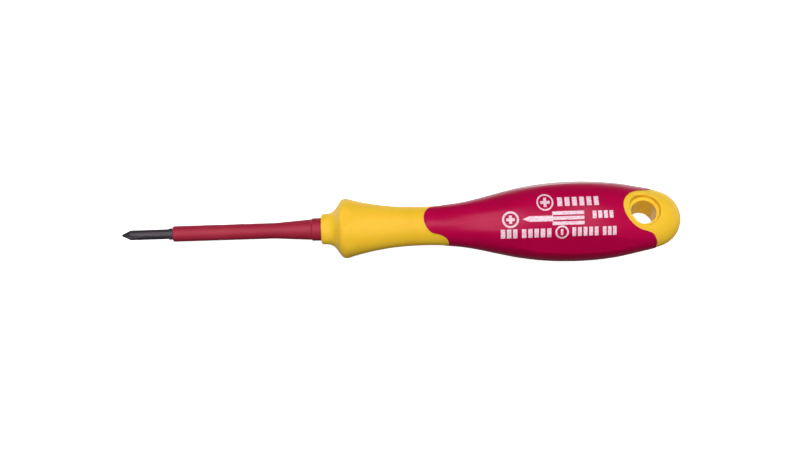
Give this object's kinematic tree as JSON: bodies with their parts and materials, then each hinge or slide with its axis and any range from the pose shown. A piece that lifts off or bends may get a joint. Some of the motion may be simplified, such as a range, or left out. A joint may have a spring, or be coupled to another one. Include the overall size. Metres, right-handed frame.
{
  "type": "insulated screwdriver",
  "caption": "Insulated cross-recess screwdriver, size 0 x 60 mm, with a sleeved blade, yellow handle body and red grip.",
  "frame": {"origin": "the blade's point, on the tool's axis", "axes": "+X from the point along the blade to the handle's tail; +Z along the hanging hole; +Y to the left of the tail seen from above"},
  "size_m": [0.168, 0.0244, 0.0242],
  "materials": {
    "blade_steel": "black oxide",
    "dark_insulation": "satin",
    "red_insulation": "satin",
    "core_plastic": "matte",
    "yellow_plastic": "matte",
    "red_grip": "semi-gloss"
  },
  "bodies": {
    "root": {"blade": "blade_steel", "blade_undersleeve": "dark_insulation", "blade_sleeve": "red_insulation", "handle_core": "core_plastic", "handle_body": "yellow_plastic", "grip_cover": "red_grip"}
  },
  "joints": []
}
